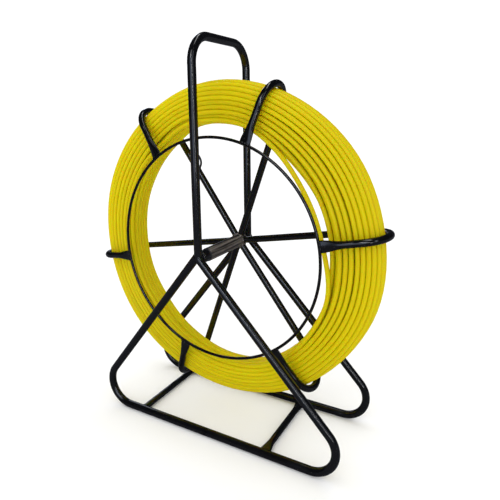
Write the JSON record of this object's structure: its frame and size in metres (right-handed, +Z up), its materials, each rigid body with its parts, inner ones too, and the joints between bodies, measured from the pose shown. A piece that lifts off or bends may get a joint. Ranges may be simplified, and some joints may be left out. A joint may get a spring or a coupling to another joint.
{
  "type": "fish tape reel",
  "caption": "Free-standing reel: a long coiled pulling rod held in a wire cage that spins on an axle between two bent-tube side frames joined by a carrying handle.",
  "frame": {"origin": "on the ground, straight below the middle of the axle and midway between the two side frames", "axes": "+Z up, +Y from the front frame (whose ring side of the cage faces the user) to the rear frame along the axle, +X towards the longer legs"},
  "size_m": [0.4352, 0.1342, 0.5109],
  "materials": {
    "frame_black": "gloss",
    "cage_black": "gloss",
    "hub_finish": "satin",
    "axle_steel": "satin",
    "bush_nylon": "matt",
    "rod_yellow": "gloss",
    "ferrule_brass": "satin"
  },
  "bodies": {
    "stand": {"front_frame": "frame_black", "rear_frame": "frame_black", "left_crossbar": "frame_black", "right_crossbar": "frame_black", "axle": "axle_steel", "front_collar": "frame_black", "rear_collar": "frame_black"},
    "reel": {"hub_tube": "hub_finish", "front_bush": "bush_nylon", "rear_bush": "bush_nylon", "cage_hook_1": "cage_black", "cage_hook_2": "cage_black", "cage_hook_3": "cage_black", "cage_hook_4": "cage_black", "cage_hook_5": "cage_black", "cage_hook_6": "cage_black", "front_ring": "cage_black", "guide_loop": "cage_black", "rod_coil": "rod_yellow", "inner_rod_ferrule": "ferrule_brass", "leading_rod_ferrule": "ferrule_brass"}
  },
  "joints": [
    {"name": "reel_spin", "type": "hinge", "parent": "stand", "child": "reel", "pos_m": [0, 0, 0.2451], "axis": [0, 1, 0], "continuous": true}
  ]
}
